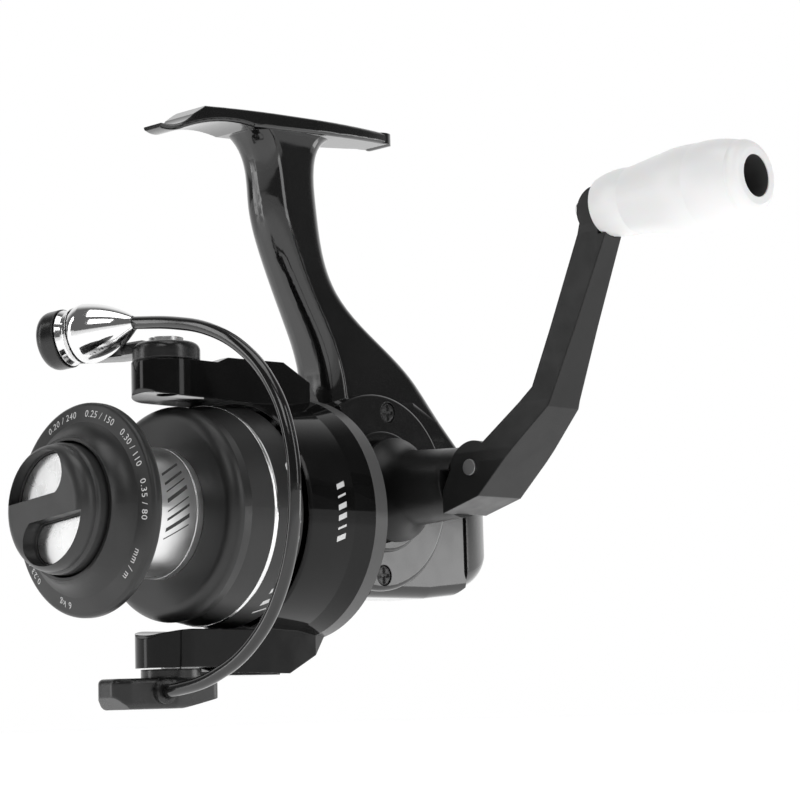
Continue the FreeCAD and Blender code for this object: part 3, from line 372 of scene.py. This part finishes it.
def flat_figures(words, height):
    """The points and faces of a line of text, centred, in metres."""
    curve = bpy.data.curves.new("figures", "FONT")
    curve.body = words
    curve.size = height * TYPE_PER_FIGURE
    curve.resolution_u = 3
    curve.align_x = "CENTER"
    curve.space_character = 1.12
    holder = bpy.data.objects.new("figures", curve)
    bpy.context.scene.collection.objects.link(holder)
    bpy.context.view_layer.update()
    data = bpy.data.meshes.new_from_object(holder.evaluated_get(bpy.context.evaluated_depsgraph_get()))
    points = [v.co.copy() for v in data.vertices]
    faces = [tuple(p.vertices) for p in data.polygons]
    bpy.data.objects.remove(holder)
    return points, faces

# %% The scale round the lip
FIGURE_HEIGHT = 1.6 * MM
FIGURE_R = 21.6 * MM
# Each group of figures and its angle round the lip, in degrees from the top.
CAPACITY = [("0.20 / 240", -18), ("0.25 / 150", 18), ("0.30 / 110", 54), ("0.35 / 80", 88),
            ("mm / m", 128), ("6 kg", 196), ("0.23 / 180", 238)]
lip_tree = surface_of("spool")
points, faces = [], []
for words, middle in CAPACITY:
    flat, rows = flat_figures(words, FIGURE_HEIGHT)
    first = len(points)
    for p in flat:
        angle = math.radians(middle) + p.x / FIGURE_R
        points.append(laid_from_front(lip_tree, FIGURE_R + p.y, angle))
    faces += [tuple(i + first for i in row) for row in rows]
piece("lip_figures", points, faces, print_white, "spool")
print("figures round the lip:", len(CAPACITY), "groups,", len(faces), "faces")

# %% [markdown]
# ## Slanted marks
# The skirt, the silver sleeve and the rotor each carry rows of slanted bars, which come
# again further round the axis. A bar is a small grid, sheared along the axis, with enough
# columns to follow the round surface. Wide and narrow bars are mixed, as the strokes of
# print are.

# %% Bars round a cylinder
def slanted_bars(name, tree, material, body, x_from, x_to, bars, slant):
    """Bars between two places on the axis. bars lists each one's middle angle and width,
    in degrees, and slant is the angle by which a bar leans from one end to the other."""
    points, faces = [], []
    columns, rows = 4, 5
    for middle, width in bars:
        first = len(points)
        for j in range(rows + 1):
            t = j / rows
            x = x_from + (x_to - x_from) * t
            for i in range(columns + 1):
                angle = middle + slant * (t - 0.5) + width * (i / columns - 0.5)
                points.append(laid_from_side(tree, x, math.radians(angle)))
        for j in range(rows):
            for i in range(columns):
                a = first + j * (columns + 1) + i
                faces.append((a, a + 1, a + columns + 2, a + columns + 1))
    piece(name, points, faces, material, body)


def places(starts, bars):
    """The same row of bars, set at several places round the axis."""
    return [(start + turn, width) for start in starts for turn, width in bars]

# %% Bars on the skirt, the sleeve and the rotor
SKIRT_BARS = places((66, 246), (
    (0, 3.2), (8, 1.4), (18, 3.8), (26, 1.4), (33, 1.4), (42, 3.8), (51, 3.2), (60, 1.4), (67, 3.2),
    (76, 3.8), (84, 1.4)))
slanted_bars("skirt_marks", lip_tree, print_white, "spool",
             SKIRT_BACK + 1.2 * MM, SKIRT_BACK + 4.0 * MM, SKIRT_BARS, 5)
sleeve_low, sleeve_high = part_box("arbor_sleeve")
SLEEVE_BARS = places((54, 174, 294), (
    (0, 2.4), (9, 2.4), (16, 1.2), (24, 3.6), (33, 1.2), (40, 2.4), (49, 3.6), (57, 1.2)))
slanted_bars("sleeve_marks", surface_of("arbor_sleeve"), print_dark, "spool",
             sleeve_low.x + 4.4 * MM, sleeve_high.x - 4.6 * MM, SLEEVE_BARS, 14)
ROTOR_BARS = places((78, 258), ((0, 2.6), (5, 1.1), (10, 2.6), (15, 2.6), (20, 1.1), (25, 2.6)))
slanted_bars("rotor_marks", surface_of("rotor"), print_white, "rotor",
             ROTOR_BACK + 14.4 * MM, ROTOR_BACK + 17.0 * MM, ROTOR_BARS, 2)
print("bars on the skirt, the sleeve and the rotor:", len(SKIRT_BARS), len(SLEEVE_BARS), len(ROTOR_BARS))

# %% [markdown]
# ## Painted shade in the grip's hole
# The grip's outer end is open, and its hole looks dark against the white moulding. A thin
# dark sheet, a hair inside its wall, paints that shade of the hole. It is a tube: a ring of
# points is repeated down the hole, and the last ring is drawn in to a narrow floor that
# leaves room for the head of the grip's post.

# %% A dark sheet that paints the shade in the grip's hole
# A dark sheet inside the hole: its colour is painted shade of the recess, not a rubber part.
hole_shade_sheet = finish("painted_hole_shade", grey(0.035), grey(0.055), (0.40, 0.50), grain=1800, relief=0.05)
grip_low, grip_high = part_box("handle_grip")
GRIP_X = (grip_low.x + grip_high.x) / 2
GRIP_Z = (grip_low.z + grip_high.z) / 2
LINING_R = 4.87 * MM
POST_HEAD_R = 4.1 * MM
RING_STEPS = 64
# Each ring: its radius and how far it lies below the grip's end.
LINING_RINGS = [(LINING_R, 0.25 * MM), (LINING_R, 4 * MM), (LINING_R, 8 * MM), (LINING_R, 12.3 * MM),
                (POST_HEAD_R, 12.6 * MM)]
points, faces = [], []
for radius, depth in LINING_RINGS:
    for i in range(RING_STEPS):
        turn = 2 * math.pi * i / RING_STEPS
        across, up = radius * math.cos(turn), radius * math.sin(turn)
        points.append((GRIP_X + across, grip_high.y - depth, GRIP_Z + up))
for ring in range(len(LINING_RINGS) - 1):
    for i in range(RING_STEPS):
        a, b = ring * RING_STEPS + i, ring * RING_STEPS + (i + 1) % RING_STEPS
        faces.append((a, b, b + RING_STEPS, a + RING_STEPS))
grip_hole_painted_shade = piece("grip_hole_painted_shade", points, faces, hole_shade_sheet, "handle_grip")
for face in grip_hole_painted_shade.data.polygons:
    face.use_smooth = True
print("rings in the lining:", len(LINING_RINGS), " its depth in mm:", round(LINING_RINGS[-1][1] / MM, 1))

# %% [markdown]
# ## The studio
# A glossy black object shows its surroundings more than itself. Behind it everything is
# white, so its edges are outlined in light. The side that faces it is darker, with a few
# broad lamps whose streaks draw the shapes. The floor is a plain pale sheet well below,
# and from just above its horizon down the surroundings are white too, so that the lower
# faces of the reel are lit from below.

# %% The floor
FLOOR_Z = -0.20
FLOOR_HALF = 6.0
FLOOR_GLOW = 0.70
floor_data = bpy.data.meshes.new("floor")
grid = bmesh.new()
bmesh.ops.create_grid(grid, x_segments=8, y_segments=8, size=FLOOR_HALF)
grid.to_mesh(floor_data)
grid.free()
floor = bpy.data.objects.new("floor", floor_data)
floor.location.z = FLOOR_Z
bpy.context.scene.collection.objects.link(floor)
floor_paper = finish("floor_paper", (0.90, 0.90, 0.90), (0.93, 0.93, 0.93), (0.7, 0.8), grain=400, cloud=2)
floor_data.materials.append(floor_paper)
shader_of(floor_paper).inputs["Emission Color"].default_value = (1, 1, 1, 1)
shader_of(floor_paper).inputs["Emission Strength"].default_value = FLOOR_GLOW
print("floor at", FLOOR_Z, " and", 2 * FLOOR_HALF, "wide")

# %% The surroundings
VIEW_BACK = Vector((0.723, 0.679, -0.127)).normalized()
SKY_DIM = 0.14
# The white behind the reel fades between these cosines of the angle to the line of sight.
SKY_FADE = (0.30, 0.80)
# The white below fades between these heights of the direction.
LOW_FADE = (0.09, 0.06)
LOW_BRIGHT = 0.9
world = bpy.data.worlds.new("studio")
bpy.context.scene.world = world
world.use_nodes = True
sky = world.node_tree
direction = sky.nodes.new("ShaderNodeTexCoord").outputs["Generated"]
facing = sky.nodes.new("ShaderNodeVectorMath")
facing.operation = "DOT_PRODUCT"
facing.inputs[1].default_value = -VIEW_BACK
link(sky, direction, facing.inputs[0])


def sky_step(value, start, end, low, high):
    """A soft step in the sky's brightness."""
    step = sky.nodes.new("ShaderNodeMapRange")
    step.interpolation_type = "SMOOTHSTEP"
    for socket, number in (("From Min", start), ("From Max", end), ("To Min", low), ("To Max", high)):
        step.inputs[socket].default_value = number
    link(sky, value, step.inputs["Value"])
    return step.outputs["Result"]


height = sky.nodes.new("ShaderNodeSeparateXYZ")
link(sky, direction, height.inputs["Vector"])
brighter = sky.nodes.new("ShaderNodeMath")
brighter.operation = "MAXIMUM"
link(sky, sky_step(facing.outputs["Value"], *SKY_FADE, SKY_DIM, 1.0), brighter.inputs[0])
link(sky, sky_step(height.outputs["Z"], *LOW_FADE, 0.0, LOW_BRIGHT), brighter.inputs[1])
link(sky, brighter.outputs[0], sky.nodes["Background"].inputs["Color"])
print("surroundings: from", SKY_DIM, "in front to 1 behind")

# %% [markdown]
# ## The lamps
# Four broad lamps light the reel: one from above, one from each side and one from the
# front. Being broad they leave long soft streaks on the round pieces. A fifth, the low
# card, stands behind the reel on the crank's side. The flat side of the gearbox mirrors
# it, which makes its lower half light grey.

# %% Lamps
AIM = Vector((-0.01, 0.02, -0.07))


def softbox(name, direction, distance, width, height, watts):
    """A rectangular lamp that faces the reel."""
    data = bpy.data.lights.new(name, "AREA")
    data.shape = "RECTANGLE"
    data.size, data.size_y = width, height
    data.energy = watts
    lamp = bpy.data.objects.new(name, data)
    way = Vector(direction).normalized()
    lamp.location = AIM + way * distance
    lamp.rotation_euler = way.to_track_quat("Z", "Y").to_euler()
    lamp.visible_camera = False
    bpy.context.scene.collection.objects.link(lamp)


softbox("lamp_over", (0.25, 0.15, 1.0), 0.9, 0.6, 0.6, 2.4)
softbox("lamp_left", (0.9, -0.75, 0.35), 0.9, 0.18, 0.9, 1.6)
softbox("lamp_right", (-0.1, 1.0, 0.45), 0.9, 0.25, 0.7, 1.6)
softbox("lamp_front", (1.0, 0.55, 0.75), 1.1, 0.45, 0.35, 1.6)
softbox("card_low", (-0.944, 0.588, -0.03), 1.1, 0.5, 0.17, 0.8)
print("lamps:", len(bpy.data.lights))

# %% [markdown]
# ## The camera
# The reel is seen from the front, on the handle side, from a little below. A long lens
# keeps the near grip from looking too large.

# %% Camera
CAMERA_AT = Vector((0.4216, 0.4335, -0.1500))
CAMERA_UP = Vector((0.073, 0.107, 0.992))
camera_data = bpy.data.cameras.new("camera")
camera_data.lens = 108
camera_data.sensor_width = 36
camera_data.clip_start = 0.01
camera = bpy.data.objects.new("camera", camera_data)
right = CAMERA_UP.cross(VIEW_BACK).normalized()
up = VIEW_BACK.cross(right)
camera.matrix_world = Matrix.Translation(CAMERA_AT) @ Matrix((right, up, VIEW_BACK)).transposed().to_4x4()
bpy.context.scene.collection.objects.link(camera)
bpy.context.scene.camera = camera
bpy.context.scene.view_settings.view_transform = "Standard"

# %% End
bpy.context.view_layer.update()
